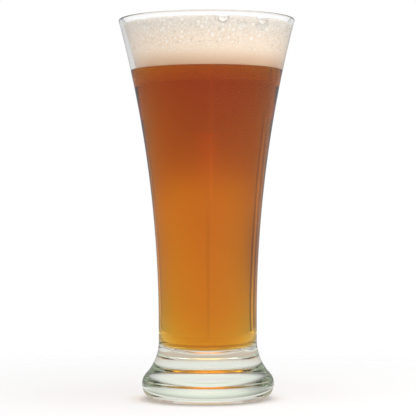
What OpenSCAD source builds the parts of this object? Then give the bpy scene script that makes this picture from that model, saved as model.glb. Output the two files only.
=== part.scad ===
// Footed pilsner glass, filled with beer under a head of foam.
// Every piece is turned about the Z axis. The foot's resting ring stands on z = 0.
// The outside is one smooth line: bevel, heel, foot edge, hollow shoulder, straight waist and a flaring arc.

/* [Glass] */
// Height of the glass
glass_h = 180; // [165:1:220]
// Diameter over the rim
rim_d = 83.6; // [74:0.2:96]
// Thickness of the wall under the rim
rim_wall = 1.5; // [1.2:0.1:3]
// How far the melted rim swells past the wall, inside and outside
rim_swell = 0.1; // [0.05:0.05:0.4]
// Outside diameter of the waist
waist_d = 46.6; // [42:0.2:52]
// Thickness of the wall at the waist
waist_wall = 2.6; // [1.8:0.05:4]
// Length of the straight waist between the shoulder and the flare
waist_h = 8.2; // [4:0.2:20]

/* [Foot] */
// Diameter of the foot
foot_d = 62.8; // [59:0.2:72]
// Height of the line round the foot where it is widest
foot_wide_h = 7.2; // [6.6:0.05:9]
// Radius of the foot's edge above that line
foot_upper_r = 7.1; // [5:0.05:8]
// Radius of the foot's edge below that line
foot_lower_r = 8.25; // [7:0.05:9.5]
// How far round the lower edge runs, in degrees, before it turns in to the heel
foot_lower_deg = 33.6; // [20:0.2:42]
// Radius of the heel between the lower edge and the bevel under the foot
heel_r = 3.7; // [2:0.05:5]
// Outside diameter of the flat ring that the glass rests on
ring_d = 49.1; // [48:0.1:52]
// Radius of the hollow curve from the foot up to the waist
shoulder_r = 22.75; // [17:0.05:30]
// Thickness of the solid base under the middle of the bowl
base_h = 20.2; // [14:0.1:24]
// Radius of the bowl's dished floor
dish_r = 38; // [24:0.5:120]
// Radius of the corner between the bowl's floor and its wall
bowl_corner_r = 4; // [2:0.1:6]
// Radius of the long curve on which the bowl narrows towards its floor
bowl_taper_r = 80; // [60:1:120]
// How far round that curve runs, in degrees
bowl_taper_deg = 17; // [10:0.5:20]
// Diameter of the hollow under the foot
punt_d = 45.8; // [38:0.2:47]
// Depth of the hollow under the foot
punt_h = 3.6; // [1:0.05:6]

/* [Drink] */
// Drop from the rim down to the top of the foam
foam_drop = 2.2; // [1.5:0.1:20]
// Thickness of the head of foam
head_h = 21.4; // [10:0.2:40]
// Diameter of the largest bubble in the foam
bubble_d = 6.4; // [3:0.1:8]
// Gap between a large bubble and the glass
bubble_gap = 0.15; // [0.1:0.05:0.4]
// How flat a bubble lies that touches the glass, as a share of its height
bubble_flatness = 0.5; // [0.4:0.05:0.8]
// Clearance all round a large bubble in its pocket in the foam
pocket_gap = 0.3; // [0.2:0.05:0.5]

/* [Hidden] */
$fn = 128;
// Sides of the circles whose short arcs make the flaring wall, the bowl's floor and the foot's hollow
long_arc_sides = 1440;
// How far a cut runs past the face that it opens
overrun = 1;

// Bearing of each large bubble round the axis, in degrees to the right of the front
bubble_bearings = [40.5, 11, 25, -47, -24, 78, 112, 150, 186, 221, 247, -80, 60, 165, -5, 205];
// Diameter of each, as a share of the largest
bubble_size_shares = [1, 0.75, 0.5, 0.5, 0.35, 0.6, 0.4, 0.75, 0.5, 0.4, 0.65, 0.5, 0.7, 0.45, 0.55, 0.6];
// Distance of each from the axis, as a share of the way to the glass
bubble_reach_shares = [1, 1, 1, 1, 1, 1, 1, 1, 1, 1, 1, 1, 0.62, 0.5, 0.45, 0.68];
// Depth of each one's centre under the top of the foam, as a share of its own diameter
bubble_depth_shares = [0.48, 0.25, 1.2, 1.1, 1, 0.3, 0.4, 0.3, 0.35, 1.1, 0.3, 0.35, 0.2, 0.25, 0.2, 0.2];

rim_r = rim_d / 2;
waist_r = waist_d / 2;
foot_r = foot_d / 2;
ring_r = ring_d / 2;
punt_r = punt_d / 2;
bead_r = rim_wall / 2 + rim_swell;
bowl_waist_r = waist_r - waist_wall;

// The shoulder's arc touches both the foot's upper edge and the waist
upper_x = foot_r - foot_upper_r;
shoulder_x = waist_r + shoulder_r;
shoulder_z = foot_wide_h + sqrt(pow(shoulder_r + foot_upper_r, 2) - pow(shoulder_x - upper_x, 2));
touch_deg = atan2(shoulder_z - foot_wide_h, shoulder_x - upper_x);

// The heel's arc touches the foot's lower edge and the bevel that climbs from the resting ring
heel_x = foot_r - foot_lower_r + (foot_lower_r - heel_r) * cos(foot_lower_deg);
heel_z = foot_wide_h - (foot_lower_r - heel_r) * sin(foot_lower_deg);
bevel_deg = atan2(heel_z, heel_x - ring_r) - asin(heel_r / norm([heel_x - ring_r, heel_z]));

// The bowl's corner touches the long curve of its wall and its dished floor
taper_x = bowl_waist_r - bowl_taper_r;
corner_x = taper_x + (bowl_taper_r - bowl_corner_r) * cos(bowl_taper_deg);
dish_deg = asin(corner_x / (dish_r - bowl_corner_r));
corner_z = base_h + dish_r - sqrt(pow(dish_r - bowl_corner_r, 2) - pow(corner_x, 2));
bowl_flare_z = corner_z + (bowl_taper_r - bowl_corner_r) * sin(bowl_taper_deg);

// Each face of the wall flares in one arc that leaves the waist upright and ends at the rim's bead
flare_z = shoulder_z + waist_h;
bead_z = glass_h - bead_r;
outer_arc_r = flare_arc_r(rim_r - rim_swell - waist_r, bead_z - flare_z);
inner_arc_r = flare_arc_r(rim_r - rim_swell - rim_wall - bowl_waist_r, bead_z - bowl_flare_z);
// The hollow under the foot is a cap of a sphere
punt_arc_r = (pow(punt_r, 2) + pow(punt_h, 2)) / (2 * punt_h);

foam_z = glass_h - foam_drop;
beer_z = foam_z - head_h;

// Radius of an arc that starts upright and moves outwards by spread over a height of rise
function flare_arc_r(spread, rise) = (pow(rise, 2) + pow(spread, 2)) / (2 * spread);

// Distance from the axis to the bowl's wall at height z
function bowl_r(z) = bowl_waist_r + inner_arc_r - sqrt(pow(inner_arc_r, 2) - pow(z - bowl_flare_z, 2));

// How far the bowl's wall leans outwards at height z, per unit of height
function bowl_lean(z) = (z - bowl_flare_z) / sqrt(pow(inner_arc_r, 2) - pow(z - bowl_flare_z, 2));

// Point on a circle, at a bearing anticlockwise from +X
function on_arc(x, z, r, deg) = [x + r * cos(deg), z + r * sin(deg)];

// Sector of a disc between two bearings
module sector(x, z, r, start_deg, end_deg, sides = $fn) {
    intersection() {
        translate([x, z])
            circle(r, $fn = sides);
        polygon([
            [x, z],
            on_arc(x, z, 2 * r, start_deg),
            on_arc(x, z, 2 * r, (start_deg + end_deg) / 2),
            on_arc(x, z, 2 * r, end_deg)
        ]);
    }
}

// Space inside a flaring wall, from start_z up to top_z
module flare_outline(start_r, start_z, arc_r, top_z) {
    difference() {
        translate([0, start_z])
            square([rim_r, top_z - start_z]);
        translate([start_r + arc_r, start_z])
            circle(arc_r, $fn = long_arc_sides);
    }
}

// Half section of the glass as if it were solid, up to the bead
module outside_outline() {
    difference() {
        polygon([
            [0, 0],
            [ring_r, 0],
            on_arc(heel_x, heel_z, heel_r, bevel_deg - 90),
            on_arc(heel_x, heel_z, heel_r, -foot_lower_deg),
            [foot_r, foot_wide_h],
            on_arc(upper_x, foot_wide_h, foot_upper_r, touch_deg),
            [waist_r, shoulder_z],
            [waist_r, flare_z],
            [0, flare_z]
        ]);
        translate([shoulder_x, shoulder_z])
            circle(shoulder_r);
    }
    sector(heel_x, heel_z, heel_r, bevel_deg - 90, -foot_lower_deg);
    sector(foot_r - foot_lower_r, foot_wide_h, foot_lower_r, -foot_lower_deg, 0);
    sector(upper_x, foot_wide_h, foot_upper_r, 0, touch_deg);
    flare_outline(waist_r, flare_z, outer_arc_r, bead_z);
}

// Half section of the space inside the bowl, open past the rim
module bowl_outline() {
    dish_z = base_h + dish_r;
    taper_end = on_arc(taper_x, bowl_flare_z, bowl_taper_r, -bowl_taper_deg);
    polygon([
        [0, base_h],
        on_arc(0, dish_z, dish_r, dish_deg - 90),
        taper_end,
        [bowl_waist_r, bowl_flare_z],
        [0, bowl_flare_z]
    ]);
    sector(0, dish_z, dish_r, -90, dish_deg - 90, long_arc_sides);
    sector(corner_x, corner_z, bowl_corner_r, dish_deg - 90, -bowl_taper_deg);
    intersection() {
        translate([0, taper_end[1]])
            square([rim_r, bowl_flare_z - taper_end[1]]);
        translate([taper_x, bowl_flare_z])
            circle(bowl_taper_r, $fn = long_arc_sides);
    }
    flare_outline(bowl_waist_r, bowl_flare_z, inner_arc_r, glass_h + overrun);
}

// What fills the bowl between two heights
module bowl_filling(low_z, high_z) {
    rotate_extrude()
        intersection() {
            bowl_outline();
            translate([0, low_z])
                square([rim_r, high_z - low_z]);
        }
}

// All the large bubbles, each grown by a clearance. Those that touch the glass lie flat against it
module bubble_balls(clearance) {
    for (i = [0 : len(bubble_bearings) - 1]) {
        reach = bubble_reach_shares[i];
        flat = reach == 1 ? bubble_flatness : 1;
        ball_r = bubble_d * bubble_size_shares[i] / 2;
        ball_z = foam_z - 2 * ball_r * bubble_depth_shares[i];
        ball_x = (bowl_r(ball_z) - ball_r * norm([flat, bowl_lean(ball_z)]) - bubble_gap) * reach;
        grown_r = ball_r + clearance;
        rotate([0, 0, bubble_bearings[i] - 90])
            translate([ball_x, 0, ball_z])
                scale([(flat * ball_r + clearance) / grown_r, 1, 1])
                    sphere(grown_r, $fn = 48);
    }
}

// One-piece glass: foot, waist, flaring wall and rounded rim
module glass() {
    color([0.82, 0.88, 0.86, 0.4])
        rotate_extrude() {
            difference() {
                outside_outline();
                bowl_outline();
                translate([0, punt_h - punt_arc_r])
                    circle(punt_arc_r, $fn = long_arc_sides);
            }
            translate([rim_r - bead_r, bead_z])
                circle(bead_r);
        }
}

// Beer up to the foam line
module beer() {
    color([0.78, 0.42, 0.1, 0.85])
        bowl_filling(base_h, beer_z);
}

// Head of foam, with a pocket for each large bubble
module foam_head() {
    color([0.95, 0.9, 0.82])
        difference() {
            bowl_filling(beer_z, foam_z);
            bubble_balls(pocket_gap);
        }
}

// Large clear bubbles in the top of the foam
module large_bubbles() {
    color([0.97, 0.95, 0.9, 0.5])
        bubble_balls(0);
}

glass();
beer();
foam_head();
large_bubbles();
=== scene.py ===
import math
import bpy
import numpy as np
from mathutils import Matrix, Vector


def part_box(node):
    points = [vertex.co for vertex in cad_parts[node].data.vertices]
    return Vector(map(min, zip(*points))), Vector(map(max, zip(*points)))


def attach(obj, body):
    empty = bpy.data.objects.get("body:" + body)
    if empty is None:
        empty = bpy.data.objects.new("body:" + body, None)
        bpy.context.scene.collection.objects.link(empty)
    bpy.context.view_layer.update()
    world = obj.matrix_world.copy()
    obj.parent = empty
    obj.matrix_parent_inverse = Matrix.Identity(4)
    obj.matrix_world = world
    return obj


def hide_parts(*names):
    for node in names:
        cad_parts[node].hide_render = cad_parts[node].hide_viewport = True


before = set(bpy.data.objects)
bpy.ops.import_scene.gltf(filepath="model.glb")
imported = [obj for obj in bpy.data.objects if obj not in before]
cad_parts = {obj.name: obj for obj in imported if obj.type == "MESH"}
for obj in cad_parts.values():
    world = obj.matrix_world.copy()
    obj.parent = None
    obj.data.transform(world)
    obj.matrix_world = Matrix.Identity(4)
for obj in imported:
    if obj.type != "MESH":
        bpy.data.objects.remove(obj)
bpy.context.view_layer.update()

# Glass
# One piece of pressed soda-lime glass: a rounded foot, a hollow shoulder, a narrow waist and a single
# flaring arc up to the rim, which is melted round. It is solid and heavy below the bowl, and stands on
# a ring round a shallow hollow.

MM = 0.001


def arc(centre_r, centre_z, radius, start_deg, end_deg, count):
    """Points of a circular arc in the half section, from one bearing to another, anticlockwise from +r."""
    turn = np.radians(np.linspace(start_deg, end_deg, count))
    return np.stack([centre_r + radius * np.cos(turn), centre_z + radius * np.sin(turn)], axis=1)


def upright_arc(start_r, start_z, end_r, end_z, count):
    """Points of the arc that leaves (start_r, start_z) straight up and ends at (end_r, end_z).

    Its radius is (rise squared + spread squared) over twice the spread."""
    rise = end_z - start_z
    spread = end_r - start_r
    radius = (rise ** 2 + spread ** 2) / (2 * spread)
    z = np.linspace(start_z, end_z, count)
    return np.stack([start_r + radius - np.sqrt(radius ** 2 - (z - start_z) ** 2), z], axis=1)


def spun(outline, count):
    """Grid of points from carrying a half section round the Z axis: (r cos a, r sin a, z)."""
    turn = np.linspace(0, 2 * np.pi, count, endpoint=False)
    r = outline[:, 0, None]
    z = np.repeat(outline[:, 1, None], count, axis=1)
    return np.stack([r * np.cos(turn), r * np.sin(turn), z], axis=2)


def grid_piece(name, points, poles=True, **marks):
    """Object from a grid of points, (rows, columns, 3), that closes on itself along its columns.

    With poles, its first and last rows lie on the axis and each becomes one point with a fan of triangles.
    Each mark is a grid of numbers that the material can read by its name."""
    ends = points[[0, -1]].mean(axis=1)
    points = points[1:-1] if poles else points
    rows, columns = points.shape[:2]
    index = np.arange(rows * columns).reshape(rows, columns)
    beside = np.roll(index, -1, axis=1)
    faces = np.stack([index[:-1], beside[:-1], beside[1:], index[1:]], axis=2).reshape(-1, 4).tolist()
    corners = points.reshape(-1, 3)
    if poles:
        first = np.full(columns, index.size)
        faces += np.stack([first, beside[0], index[0]], axis=1).tolist()
        faces += np.stack([first + 1, index[-1], beside[-1]], axis=1).tolist()
        corners = np.concatenate([corners, ends])
    mesh = bpy.data.meshes.new(name)
    mesh.from_pydata(corners, [], faces)
    for mark, values in marks.items():
        layer = mesh.attributes.new(mark, "FLOAT", "POINT")
        layer.data.foreach_set("value", np.append(values[1:-1].ravel(), values[[0, -1]].mean(axis=1)))
    mesh.shade_smooth()
    piece = bpy.data.objects.new(name, mesh)
    bpy.context.scene.collection.objects.link(piece)
    return piece


class Wire:
    """A socket in a node tree. Arithmetic on wires adds Math nodes, and node() adds any other node."""

    def __init__(self, tree, socket=None):
        self.tree = tree
        self.socket = socket

    def node(self, kind, settings=None, output=0, **sockets):
        """Adds a node, applies its settings, then sets or links its sockets.

        A socket is named by its place, s0 for the first, or by its label, A_B for "A B"."""
        made = self.tree.nodes.new(kind)
        for name, value in (settings or {}).items():
            setattr(made, name, value)
        for name, value in sockets.items():
            key = int(name[1:]) if name[1:].isdigit() else name.replace("_", " ")
            if isinstance(value, Wire):
                self.tree.links.new(value.socket, made.inputs[key])
            else:
                made.inputs[key].default_value = value
        return Wire(self.tree, made.outputs[output] if made.outputs else None)

    def maths(self, operation, first, second):
        return self.node("ShaderNodeMath", {"operation": operation}, s0=first, s1=second)

    def blend(self, share, first, second):
        """Colour that goes from first to second as share goes from 0 to 1."""
        return self.node("ShaderNodeMix", {"data_type": "RGBA"}, output=2, s0=share, s6=first, s7=second)

    def smooth(self, value, low, high):
        """0 below low, 1 above high and an even S-curve between."""
        return self.node("ShaderNodeMapRange", {"interpolation_type": "SMOOTHSTEP"}, Value=value,
                         From_Min=low, From_Max=high)

    def __add__(self, other):
        return self.maths("ADD", self, other)

    def __radd__(self, other):
        return self.maths("ADD", other, self)

    def __sub__(self, other):
        return self.maths("SUBTRACT", self, other)

    def __rsub__(self, other):
        return self.maths("SUBTRACT", other, self)

    def __mul__(self, other):
        return self.maths("MULTIPLY", self, other)

    def __rmul__(self, other):
        return self.maths("MULTIPLY", other, self)

    def __lt__(self, other):
        return self.maths("LESS_THAN", self, other)

    def __gt__(self, other):
        return self.maths("GREATER_THAN", self, other)


def new_material(name):
    """An empty node material and a wire to start its nodes from."""
    material = bpy.data.materials.new(name)
    material.use_nodes = True
    material.node_tree.nodes.clear()
    return material, Wire(material.node_tree)


glass_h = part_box("glass")[1].z
rim_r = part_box("glass")[1].x
beer_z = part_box("beer")[1].z
rim_wall = 1.5 * MM
rim_swell = 0.1 * MM
waist_r = 23.3 * MM
waist_wall = 2.6 * MM
waist_h = 8.2 * MM
foot_r = 31.4 * MM
foot_wide_z = 7.2 * MM
foot_upper_r = 7.1 * MM
foot_lower_r = 8.25 * MM
foot_lower_deg = 33.6
heel_r = 3.7 * MM
ring_r = 24.55 * MM
shoulder_r = 22.75 * MM
base_h = 20.2 * MM
dish_r = 38 * MM
bowl_corner_r = 4 * MM
bowl_taper_r = 80 * MM
bowl_taper_deg = 17
punt_r = 22.9 * MM
punt_h = 3.6 * MM
around = 256
colourless = (1, 1, 1, 1)
glass_tint = (0.17, 0.33, 0, 1)
glass_tint_density = 3.6
glass_ior = 1.52
beer_ior = 1.345
foam_film_ior = 1.08
cling_from = 0.8
cling_ragged = 0.4
cling_patch_scale = 500
cling_z = glass_h - 3 * MM

upper_x = foot_r - foot_upper_r
shoulder_x = waist_r + shoulder_r
shoulder_z = foot_wide_z + math.sqrt((shoulder_r + foot_upper_r) ** 2 - (shoulder_x - upper_x) ** 2)
touch_deg = math.degrees(math.atan2(shoulder_z - foot_wide_z, shoulder_x - upper_x))
heel_x = foot_r - foot_lower_r + (foot_lower_r - heel_r) * math.cos(math.radians(foot_lower_deg))
heel_z = foot_wide_z - (foot_lower_r - heel_r) * math.sin(math.radians(foot_lower_deg))
heel_turn = math.asin(heel_r / math.hypot(heel_x - ring_r, heel_z))
bevel_deg = math.degrees(math.atan2(heel_z, heel_x - ring_r) - heel_turn)
flare_z = shoulder_z + waist_h
bead_r = rim_wall / 2 + rim_swell
bead_z = glass_h - bead_r
bead_x = rim_r - bead_r
bowl_waist_r = waist_r - waist_wall
bowl_rim_r = rim_r - rim_swell - rim_wall
punt_arc_r = (punt_r ** 2 + punt_h ** 2) / (2 * punt_h)
punt_deg = math.degrees(math.asin(punt_r / punt_arc_r))
taper_x = bowl_waist_r - bowl_taper_r
corner_x = taper_x + (bowl_taper_r - bowl_corner_r) * math.cos(math.radians(bowl_taper_deg))
dish_deg = math.degrees(math.asin(corner_x / (dish_r - bowl_corner_r)))
corner_z = base_h + dish_r - math.sqrt((dish_r - bowl_corner_r) ** 2 - corner_x ** 2)
bowl_flare_z = corner_z + (bowl_taper_r - bowl_corner_r) * math.sin(math.radians(bowl_taper_deg))


def bowl_floor(inset):
    """Half section of the bowl's dished floor, round corner and taper, moved into the bowl by the inset."""
    return np.concatenate([
        arc(0, base_h + dish_r, dish_r - inset, -90, dish_deg - 90, 14),
        arc(corner_x, corner_z, bowl_corner_r - inset, dish_deg - 90, -bowl_taper_deg, 16)[1:],
        arc(taper_x, bowl_flare_z, bowl_taper_r - inset, -bowl_taper_deg, 0, 20)[1:-1],
    ])


bowl_wall = upright_arc(bowl_waist_r, bowl_flare_z, bowl_rim_r, bead_z, 70)
outside = np.concatenate([
    arc(0, punt_h - punt_arc_r, punt_arc_r, 90, 90 - punt_deg, 16),
    [[ring_r, 0]],
    arc(heel_x, heel_z, heel_r, bevel_deg - 90, -foot_lower_deg, 10),
    arc(foot_r - foot_lower_r, foot_wide_z, foot_lower_r, -foot_lower_deg, 0, 16)[1:],
    arc(upper_x, foot_wide_z, foot_upper_r, 0, touch_deg, 20)[1:],
    arc(shoulder_x, shoulder_z, shoulder_r, 180 + touch_deg, 180, 24)[1:],
    upright_arc(waist_r, flare_z, rim_r - rim_swell, bead_z, 70)[:-1],
    arc(bead_x, bead_z, bead_r, 0, 180, 17),
])
inside = np.concatenate([bowl_wall[-2::-1], bowl_floor(0)[::-1]])
glass_grid = spun(np.concatenate([outside, inside]), around)
bowl_side = np.zeros(glass_grid.shape[:2])
bowl_side[len(outside):] = 1
glass = grid_piece("glass", glass_grid, bowl_side=bowl_side)

glass_material, wire = new_material("clear_glass")
place = wire.node("ShaderNodeTexCoord", output="Object")
height = wire.node("ShaderNodeSeparateXYZ", output="Z", Vector=place)
in_bowl = wire.node("ShaderNodeAttribute", {"attribute_name": "bowl_side"}, output="Fac")
ring = wire.node("ShaderNodeVectorMath", {"operation": "MULTIPLY"}, s0=place, s1=(1, 1, 0))
bearing = wire.node("ShaderNodeVectorMath", {"operation": "NORMALIZE"}, s0=ring)
rightward = wire.node("ShaderNodeSeparateXYZ", output="X", Vector=bearing)
patches = wire.node("ShaderNodeTexNoise", Vector=place, Scale=cling_patch_scale, Detail=2) - 0.5
clinging = (rightward + patches * cling_ragged > cling_from) * (height < cling_z) * (in_bowl > 0.5)
wet = (height < beer_z) * (in_bowl > 0.5)
dry_face, wet_face, film_face = (
    wire.node("ShaderNodeBsdfPrincipled", Base_Color=colourless, Roughness=0, IOR=ior, Transmission_Weight=1)
    for ior in (glass_ior, glass_ior / beer_ior, glass_ior / foam_film_ior))
faces = wire.node("ShaderNodeMixShader", s0=clinging, s1=dry_face, s2=film_face)
faces = wire.node("ShaderNodeMixShader", s0=wet, s1=faces, s2=wet_face)
green = wire.node("ShaderNodeVolumeAbsorption", Color=glass_tint, Density=glass_tint_density)
wire.node("ShaderNodeOutputMaterial", Surface=faces, Volume=green)
glass.data.materials.append(glass_material)
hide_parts("glass")
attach(glass, "root")

# Beer
# Clear amber beer that wets the glass all over, poured up to the foam line. The bend of light where it
# meets the glass belongs to the glass's wet face, so its own wall bends none.

wetting = 0.03 * MM
beer_tint = (0.93, 0.727, 0, 1)
beer_tint_density = 150
beer_wall = bowl_wall[bowl_wall[:, 1] < beer_z]
beer_top_r = np.interp(beer_z, bowl_wall[:, 1], bowl_wall[:, 0])
beer_outline = np.concatenate([
    bowl_floor(wetting),
    beer_wall - [wetting, 0],
    [[beer_top_r - wetting, beer_z], [0, beer_z]],
])
beer = grid_piece("beer", spun(beer_outline, around))

beer_material, wire = new_material("amber_beer")
drink = wire.node("ShaderNodeBsdfPrincipled", Base_Color=colourless, Roughness=0, IOR=1,
                  Transmission_Weight=1)
amber = wire.node("ShaderNodeVolumeAbsorption", Color=beer_tint, Density=beer_tint_density)
wire.node("ShaderNodeOutputMaterial", Surface=drink, Volume=amber)
beer.data.materials.append(beer_material)
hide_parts("beer")
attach(beer, "root")

# Foam head
# Head of foam that floats on the beer from wall to wall: gas in thin skins of beer. It is dense and cream
# below, and drier, whiter and coarser towards the top. Its wet underside mirrors the beer. Painted shade
# darkens the hollows between the coarse bubbles, and painted glints light their crowns and the pockets
# behind the large bubbles. The underside's colour is painted light, graded from front to back.


def bubble_lift(points, normals, cell, smallest, largest, seed):
    """How far each point moves along its normal to reach the outermost of a crowd of balls, and its crest.

    Every cube of a lattice holds one ball of chance size at a chance place. Seen from a ball's centre, a
    point at m on a line along n leaves a ball of radius R after sqrt((m.n)^2 - m.m + R^2) - m.n. Points
    that no ball covers stay where they are. The crest goes from 0 at a ball's rim to 1 over its centre."""
    side = 37
    chances = np.random.default_rng(seed).random((side, side, side, 4))
    cube = np.floor(points / cell).astype(int)
    lift = np.zeros(points.shape[:2])
    crest = np.zeros(points.shape[:2])
    for step in np.ndindex(3, 3, 3):
        near = cube + step - 1
        chance = chances[near[..., 0] % side, near[..., 1] % side, near[..., 2] % side]
        away = points - (near + chance[..., :3]) * cell
        radius = smallest + (largest - smallest) * chance[..., 3] ** 2
        along = (away * normals).sum(axis=2)
        covered = along ** 2 - (away ** 2).sum(axis=2) + radius ** 2
        rise = np.where(covered > 0, np.sqrt(np.maximum(covered, 0)) - along, 0)
        crest = np.where(rise > lift, covered / radius ** 2, crest)
        lift = np.maximum(lift, rise)
    return lift, crest


def eased(value, low, high):
    """0 below low, 1 above high and 3 t^2 - 2 t^3 between."""
    share = np.clip((value - low) / (high - low), 0, 1)
    return share * share * (3 - 2 * share)


def spread_points(bearings, sizes, reaches, depths):
    """Centre, radius, flatness and outward direction of each large bubble.

    Its bearing is in degrees to the right of the front, its reach is a share of the way from the axis to
    the wall, and its depth under the top of the foam is a share of its own diameter. One that reaches the
    wall is flattened against it."""
    radius = np.array(sizes) * bubble_d / 2
    flat = np.where(np.array(reaches) == 1, bubble_flatness, 1)
    z = foam_z - 2 * radius * np.array(depths)
    room = radius * np.hypot(flat, wall_lean) + bubble_gap
    r = (np.interp(z, bowl_wall[:, 1], bowl_wall[:, 0]) - room) * np.array(reaches)
    turn = np.radians(np.array(bearings) - 90)
    outward = np.stack([np.cos(turn), np.sin(turn), np.zeros(len(turn))], axis=1)
    return outward * r[:, None] + np.stack([z * 0, z * 0, z], axis=1), radius, flat, outward


foam_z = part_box("foam_head")[1].z
bubble_d = 6.4 * MM
bubble_gap = 0.15 * MM
bubble_flatness = 0.5
wall_lean = 0.25
bubble_centres, bubble_radii, bubble_flats, bubble_outward = spread_points(
    bearings=[40.5, 11, 25, -47, -24, 78, 112, 150, 186, 221, 247, -80, 60, 165, -5, 205],
    sizes=[1, 0.75, 0.5, 0.5, 0.35, 0.6, 0.4, 0.75, 0.5, 0.4, 0.65, 0.5, 0.7, 0.45, 0.55, 0.6],
    reaches=[1, 1, 1, 1, 1, 1, 1, 1, 1, 1, 1, 1, 0.62, 0.5, 0.45, 0.68],
    depths=[0.48, 0.25, 1.2, 1.1, 1, 0.3, 0.4, 0.3, 0.35, 1.1, 0.3, 0.35, 0.2, 0.25, 0.2, 0.2])

foam_dip = 0.3 * MM
coarse_from_z = foam_z - 18 * MM
coarse_full_z = foam_z - 10 * MM
clear_gap = 0.06 * MM
under_inset = 0.03 * MM
side_froth = 0.25 * MM
crown_froth = 0.5 * MM
foam_edge_r = 0.4 * MM
foam_around = 700
under_rows = 7
side_rows = 64
crown_rows = 58
pocket_room = 1.05
pocket_reach = 2.5
pocket_depth = 0.9
# cell, smallest ball and largest ball in mm, and the seed of each crowd of bubbles
froth = ((3.6, 0.5, 1.9, 11), (1.8, 0.5, 1.1, 12), (1.1, 0.4, 0.7, 13))

side_z = np.linspace(beer_z - foam_dip, foam_z - crown_froth - foam_edge_r, side_rows)
side_r = np.interp(side_z, bowl_wall[:, 1], bowl_wall[:, 0]) - clear_gap
side_r = side_r - side_froth * eased(side_z, coarse_from_z, coarse_full_z)
under_r = np.linspace(0, side_r[0] - under_inset, under_rows)
crown_r = np.linspace(side_r[-1] - foam_edge_r, 0, crown_rows)
foam_outline = np.concatenate([
    np.stack([under_r, np.full(under_rows, side_z[0])], axis=1),
    np.stack([side_r, side_z], axis=1),
    arc(side_r[-1] - foam_edge_r, side_z[-1], foam_edge_r, 0, 90, 8)[1:-1],
    np.stack([crown_r, np.full(crown_rows, foam_z - crown_froth)], axis=1),
])
foam_grid = spun(foam_outline, foam_around)
run = np.gradient(foam_outline, axis=0)
facing = np.stack([run[:, 1], -run[:, 0]], axis=1)
facing = facing / np.linalg.norm(facing, axis=1, keepdims=True)
facing_grid = spun(facing, foam_around)
froth_room = side_froth + (crown_froth - side_froth) * eased(facing_grid[..., 2], 0.3, 0.9)
coarse = eased(foam_grid[..., 2], coarse_from_z, coarse_full_z)
under = np.zeros(coarse.shape)
under[:under_rows] = 1
lift = np.zeros(coarse.shape)
crest = np.zeros(coarse.shape)
for cell, smallest, largest, seed in froth:
    rise, peak = bubble_lift(foam_grid, facing_grid, cell * MM, smallest * MM, largest * MM, seed)
    crest = np.where(rise > lift, peak, crest)
    lift = np.maximum(lift, rise)
lift = np.minimum(lift, froth_room) * coarse
pocket = np.zeros(coarse.shape)
for centre, radius in zip(bubble_centres, bubble_radii):
    away = foam_grid - centre
    along = (away * facing_grid).sum(axis=2)
    covered = along ** 2 - (away ** 2).sum(axis=2) + (pocket_room * radius) ** 2
    inward = (covered > 0) & (along > -radius) & (along < pocket_reach * radius)
    dent = np.sqrt(np.maximum(covered, 0)) * pocket_depth
    lift = np.where(inward, np.minimum(lift, -dent), lift)
    pocket = np.where(inward, np.maximum(pocket, dent / radius), pocket)
foam_grid = foam_grid + facing_grid * lift[..., None]
foam = grid_piece("foam_head", foam_grid, crest=crest, coarse=coarse, under=under, pocket=pocket)

foam_material, wire = new_material("beer_foam")
place = wire.node("ShaderNodeTexCoord", output="Object")
height = wire.node("ShaderNodeSeparateXYZ", output="Z", Vector=place)
backward = wire.node("ShaderNodeSeparateXYZ", output="Y", Vector=place)
crest = wire.node("ShaderNodeAttribute", {"attribute_name": "crest"}, output="Fac")
coarse_here = wire.node("ShaderNodeAttribute", {"attribute_name": "coarse"}, output="Fac")
underside = wire.node("ShaderNodeAttribute", {"attribute_name": "under"}, output="Fac")
in_pocket = wire.node("ShaderNodeAttribute", {"attribute_name": "pocket"}, output="Fac")
soaked = (0.665, 0.40, 0.22, 1)
cream = (0.98, 0.80, 0.62, 1)
dry_white = (0.86, 0.775, 0.67, 1)
# Painted light: shade for the hollows, glints for bubble crowns and pockets, and the underside's tone
painted_hollow_shade = (0.70, 0.62, 0.54, 1)
painted_glint = (1.0, 0.96, 0.90, 1)
underside_painted_light_front = (0.53, 1, 0.7, 1)
underside_painted_light_back = (0.48, 0.55, 0.6, 1)
drained = wire.smooth(height, beer_z - 1.5 * MM, beer_z + 8.5 * MM)
dried = wire.smooth(height, foam_z - 11 * MM, foam_z - 2 * MM)
# Masks of painted shade between the bubbles and of painted glints on their crowns and in the pockets
shade_between_balls = (1 - wire.smooth(crest, 0, 0.35)) * coarse_here
glint_on_balls = wire.smooth(crest, 0.5, 0.95) * coarse_here
glint_in_pockets = wire.smooth(in_pocket, 0, 0.2)
far_side = wire.smooth(backward, -45 * MM, 38 * MM)
body = wire.blend(drained, soaked, cream)
body = wire.blend(dried, body, dry_white)
# Painted shade darkens the hollows between coarse bubbles.
body = wire.blend(shade_between_balls * 0.7, body, painted_hollow_shade)
# Painted highlights light the crowns of coarse bubbles and the pockets behind the large bubbles.
body = wire.blend(glint_on_balls * 0.9, body, painted_glint)
body = wire.blend(glint_in_pockets * 0.8, body, painted_glint)
# The mirror-like underside's colour is painted light, graded from front to back.
body = wire.blend(underside, body, wire.blend(far_side, underside_painted_light_front, underside_painted_light_back))
grain = wire.node("ShaderNodeTexVoronoi", Vector=place, Scale=1500)
dimple = wire.node("ShaderNodeBump", {"invert": True}, Height=grain, Strength=0.2, Distance=0.3 * MM)
froth_face = wire.node("ShaderNodeBsdfPrincipled", Base_Color=body, Roughness=0.5 - 0.4 * underside,
                       Metallic=0.75 * underside, Normal=dimple)
wire.node("ShaderNodeOutputMaterial", Surface=froth_face)
foam.data.materials.append(foam_material)
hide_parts("foam_head")
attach(foam, "root")

# Large bubbles
# A few bubbles have run together into large ones, most of them against the glass. Each is a thin skin of
# beer round air, clear in the middle, whiter where one looks along the skin and thinnest at its crown.


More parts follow.
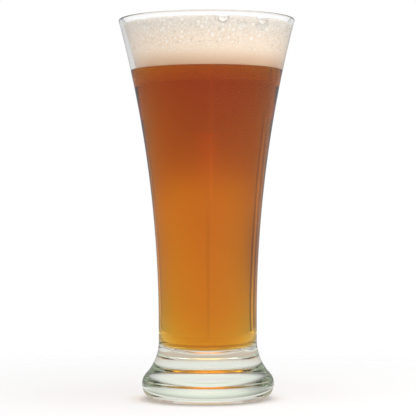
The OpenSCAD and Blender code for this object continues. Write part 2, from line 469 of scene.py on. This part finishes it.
def balls_piece(name, centres, radii, flats, outward, rows, columns):
    """Object of many balls, each flattened along its outward direction.

    Each is the unit grid u = (sin p cos a, sin p sin a, -cos p), moved to centre + radius (u + (flat - 1)
    (u.d) d), where d is the outward direction."""
    pole = np.linspace(0, np.pi, rows)
    ball = spun(np.stack([np.sin(pole), -np.cos(pole)], axis=1), columns)
    index = np.arange((rows - 2) * columns).reshape(rows - 2, columns)
    beside = np.roll(index, -1, axis=1)
    quads = np.stack([index[:-1], beside[:-1], beside[1:], index[1:]], axis=2).reshape(-1, 4)
    low = np.full(columns, index.size)
    fans = np.concatenate([np.stack([low, beside[0], index[0]], axis=1),
                           np.stack([low + 1, index[-1], beside[-1]], axis=1)])
    unit = np.concatenate([ball[1:-1].reshape(-1, 3), ball[[0, -1], 0]])
    shift = (np.arange(len(radii)) * len(unit))[:, None, None]
    depth = (outward @ unit.T) * (flats - 1)[:, None]
    shaped = unit + depth[..., None] * outward[:, None]
    points = (centres[:, None] + shaped * radii[:, None, None]).reshape(-1, 3)
    faces = (quads + shift).reshape(-1, 4).tolist() + (fans + shift).reshape(-1, 3).tolist()
    mesh = bpy.data.meshes.new(name)
    mesh.from_pydata(points, [], faces)
    mesh.shade_smooth()
    piece = bpy.data.objects.new(name, mesh)
    bpy.context.scene.collection.objects.link(piece)
    return piece


ball_rows = 17
ball_columns = 32
film_white = (0.97, 0.95, 0.91, 1)
large_bubbles = balls_piece("large_bubbles", bubble_centres, bubble_radii, bubble_flats, bubble_outward,
                            ball_rows, ball_columns)
film_material, wire = new_material("bubble_film")
place = wire.node("ShaderNodeTexCoord", output="Object")
height = wire.node("ShaderNodeSeparateXYZ", output="Z", Vector=place)
edgeways = wire.node("ShaderNodeLayerWeight", output="Facing", Blend=0.35)
thinned = 1 - 0.85 * wire.smooth(height, foam_z - 0.8 * MM, foam_z)
skin = wire.node("ShaderNodeBsdfPrincipled", Base_Color=film_white, Roughness=0.05,
                 Alpha=(0.06 + 0.34 * edgeways) * thinned)
wire.node("ShaderNodeOutputMaterial", Surface=skin)
large_bubbles.data.materials.append(film_material)
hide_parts("large_bubbles")
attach(large_bubbles, "root")

# Table
# Plain white table top that takes the shadow of the glass. It fades into the white background away from
# the glass and is clear from below. Seen in or through the glass, it glows as if evenly lit, except close
# under the glass, where the glow is a painted amber shadow of the light that comes through the beer.

table_r = 600 * MM
table_top_z = -0.2 * MM
table_under_z = -10.2 * MM
table_white = (0.98, 0.98, 0.98, 1)
shadow_tinge = (0.79, 0.65, 0.55, 1)
lit_tinge = (1, 1, 0.97, 1)
table_rim = np.array([[0, table_top_z], [table_r, table_top_z],
                      [table_r, table_under_z], [0, table_under_z]])
table = grid_piece("table", spun(table_rim, 96)[::-1])
table_material, wire = new_material("white_table")
place = wire.node("ShaderNodeTexCoord", output="Object")
far = wire.node("ShaderNodeVectorMath", {"operation": "LENGTH"}, output="Value", s0=place)
height = wire.node("ShaderNodeSeparateXYZ", output="Z", Vector=place)
glossy_ray = wire.node("ShaderNodeLightPath", output="Is Glossy Ray")
white = wire.node("ShaderNodeBsdfDiffuse", Color=table_white)
# Painted shadow: an amber tinge in the glow close under the glass.
tinge = wire.blend(wire.smooth(far, 34 * MM, 55 * MM), shadow_tinge, lit_tinge)
glow = wire.node("ShaderNodeEmission", Color=tinge, Strength=0.93)
bare = wire.node("ShaderNodeBsdfTransparent")
top = wire.node("ShaderNodeMixShader", s0=glossy_ray, s1=white, s2=glow)
gone = wire.maths("MAXIMUM", wire.smooth(far, 50 * MM, 300 * MM), height < table_under_z / 2)
faded = wire.node("ShaderNodeMixShader", s0=gone, s1=top, s2=bare)
wire.node("ShaderNodeOutputMaterial", Surface=faded)
table.data.materials.append(table_material)

# Light tent
# A low cylinder of white cloth with upright seams, seen only through the glass: the camera looks past it,
# and it casts no light. Through the drink its sides are warmer and its seams show. Through clear glass it is
# dimmer low down and to the right.


def side_shade(wire, turn, left_loss, right_loss, right_gain):
    """Share of the light at each bearing from straight behind: less to both sides, then more again."""
    left = 1 - left_loss * (wire.smooth(turn, 0.05, 0.6) - wire.smooth(turn, 0.65, 1))
    right = 1 - right_loss * wire.smooth(0 - turn, 0, 0.6) + right_gain * wire.smooth(0 - turn, 0.7, 1.1)
    return left * right


def seams(wire, turn, rows):
    """Change of light at upright seams, each a strength, a bearing from straight behind and a half width."""
    total = 0
    for strength, at, width in rows:
        total = total + strength * (wire.smooth(turn, at - width, at) - wire.smooth(turn, at, at + width))
    return total


tent_r = 150 * MM
tent_z = 125 * MM
tent_level = 0.95
low_cloth = (1, 1.06, 0.96, 1)
high_cloth = (0.97, 0.9, 0.98, 1)
warm_cloth = (1.02, 0.76, 0.7, 1)
clear_faces = 4
# strength, bearing and half width of each seam, from the right edge of the drink to its left edge and middle
tent_seams = ((-0.66, -0.49, 0.045), (0.5, -0.565, 0.05), (-0.65, -0.67, 0.09), (-0.35, 0.66, 0.06),
              (0.4, 0.78, 0.08), (-0.14, -0.003, 0.014))
tent = grid_piece("light_tent", spun(np.array([[tent_r, 0], [tent_r, tent_z / 2], [tent_r, tent_z]]), 96),
                  poles=False)
tent_material, wire = new_material("tent_cloth")
place = wire.node("ShaderNodeTexCoord", output="Object")
height = wire.node("ShaderNodeSeparateXYZ", output="Z", Vector=place)
turn = wire.maths("ARCTAN2", wire.node("ShaderNodeSeparateXYZ", output="X", Vector=place),
                  wire.node("ShaderNodeSeparateXYZ", output="Y", Vector=place))
through = wire.node("ShaderNodeLightPath", output="Is Transmission Ray")
first_look = wire.node("ShaderNodeLightPath", output="Diffuse Depth") < 1
clear = wire.node("ShaderNodeLightPath", output="Transmission Depth") < clear_faces + 1
low = 1 - wire.smooth(height, 5 * MM, 20 * MM)
sides = wire.smooth(wire.maths("ABSOLUTE", turn, 0), 0.1, 0.5) * wire.smooth(height, 30 * MM, 90 * MM)
right_loss = 0.36 + 0.24 * wire.smooth(height, 35 * MM, 78 * MM)
clear_level = 1 + clear * (0.06 - 0.36 * low - 0.28 * wire.smooth(0 - turn, 0.2, 0.6))
drink_level = 1 + (1 - clear) * seams(wire, turn, tent_seams)
brightness = tent_level * clear_level * side_shade(wire, turn, 0.28, right_loss, 0.4) * drink_level
shade = wire.blend(wire.smooth(height, 0, 100 * MM), low_cloth, high_cloth)
shade = wire.blend((1 - clear) * sides, shade, warm_cloth)
shade = wire.node("ShaderNodeVectorMath", {"operation": "SCALE"}, s0=shade, s3=brightness)
cloth = wire.node("ShaderNodeEmission", Color=shade)
bare = wire.node("ShaderNodeBsdfTransparent")
share = through * first_look * (1 - wire.smooth(height, 80 * MM, tent_z))
shown = wire.node("ShaderNodeMixShader", s0=share, s1=bare, s2=cloth)
wire.node("ShaderNodeOutputMaterial", Surface=shown)
tent_material.cycles.emission_sampling = "NONE"
tent.data.materials.append(tent_material)
tent.visible_camera = False
tent.visible_shadow = False

# Light
# A white room with a bright panel above and in front of the glass. What the camera sees directly is plain
# white, and what lights the surfaces is soft and comes a little more from the right and from above.
# Through the drink, the room is dimmer and warmer towards the top and its seams show.

plain = (1, 1, 1, 1)
dusk_behind = (0.93, 0.8, 1, 1)
dusk_aside = (1.03, 0.76, 0.7, 1)
panel_level = 4.2
room_seams = ((-0.4, -0.625, 0.045), (0.3, -0.7, 0.05), (-0.4, -0.805, 0.09), (-0.35, 0.86, 0.06),
              (0.4, 0.97, 0.1), (0.16, -0.032, 0.014))
world = bpy.data.worlds.new("white_room")
bpy.context.scene.world = world
world.use_nodes = True
world.node_tree.nodes.clear()
wire = Wire(world.node_tree)
ray = {name: wire.node("ShaderNodeLightPath", output=name)
       for name in ("Is Camera Ray", "Is Transmission Ray", "Is Glossy Ray", "Diffuse Depth",
                    "Transmission Depth")}
heading = wire.node("ShaderNodeTexCoord", output="Generated")
rightward = wire.node("ShaderNodeSeparateXYZ", output="X", Vector=heading)
backward = wire.node("ShaderNodeSeparateXYZ", output="Y", Vector=heading)
upward = wire.node("ShaderNodeSeparateXYZ", output="Z", Vector=heading)
through = ray["Is Transmission Ray"]
looking = ray["Is Glossy Ray"] * (ray["Diffuse Depth"] < 1)
filled = ray["Transmission Depth"] > clear_faces
aside = wire.maths("ABSOLUTE", rightward, 0)
panel = wire.smooth(upward, 0.35, 0.62) * wire.smooth(0 - backward, 0.25, 0.45)
panel = panel * (1 - wire.smooth(aside, 0.05, 0.18))
backdrop = 1.02 - filled * (0.05 + 0.33 * wire.smooth(upward, 0.06, 0.165)) + panel_level * panel
turn = wire.maths("ARCTAN2", rightward, backward)
seamed = filled * (1 - wire.smooth(upward, 0.2, 0.25)) * seams(wire, turn, room_seams)
backdrop = backdrop * side_shade(wire, turn, 0.08, 0.24, 0.36) * (1 + seamed)
seen = through * backdrop + (1 - through) * (0.33 + 0.06 * rightward)
soft_light = 0.76 + 0.22 * rightward - 0.44 * backward + 0.45 * upward
lighting = looking * seen + (1 - looking) * soft_light
strength = ray["Is Camera Ray"] + (1 - ray["Is Camera Ray"]) * lighting
level = wire.smooth(aside, 0.1, 0.5) * (1 - wire.smooth(upward, 0.15, 0.25))
dusk = wire.smooth(upward, 0.08, 0.13) * (1 - wire.smooth(upward, 0.3, 0.5))
dusk = wire.maths("MAXIMUM", dusk, level * wire.smooth(upward, 0, 0.06))
tone = wire.blend(looking * through * filled * dusk, plain, wire.blend(level, dusk_behind, dusk_aside))
room = wire.node("ShaderNodeBackground", Color=tone, Strength=strength)
wire.node("ShaderNodeOutputWorld", Surface=room)

scene = bpy.context.scene
scene.view_settings.view_transform = "Standard"
scene.cycles.max_bounces = 32
scene.cycles.transmission_bounces = 32
scene.cycles.glossy_bounces = 32
scene.cycles.blur_glossy = 0
scene.cycles.transparent_max_bounces = 16

# Camera
# Level camera at mid height, straight in front. Its lens and distance were fitted to the ellipses of the
# rim, the foam line and the foot.

photo_px = 416
focal_px = 1662
camera_distance = 790.3 * MM
eye_z = 90.5 * MM
axis_px = 207.32
camera_roll = 0.0038
camera = bpy.data.cameras.new("camera")
camera.sensor_width = 36
camera.lens = camera.sensor_width * focal_px / photo_px
viewer = bpy.data.objects.new("camera", camera)
eye_x = (photo_px / 2 - axis_px) * camera_distance / focal_px
viewer.location = (eye_x, -camera_distance, eye_z)
viewer.rotation_euler = (math.pi / 2, 0, 0)
viewer.rotation_euler.rotate_axis("Z", -camera_roll)
scene.collection.objects.link(viewer)
scene.camera = viewer
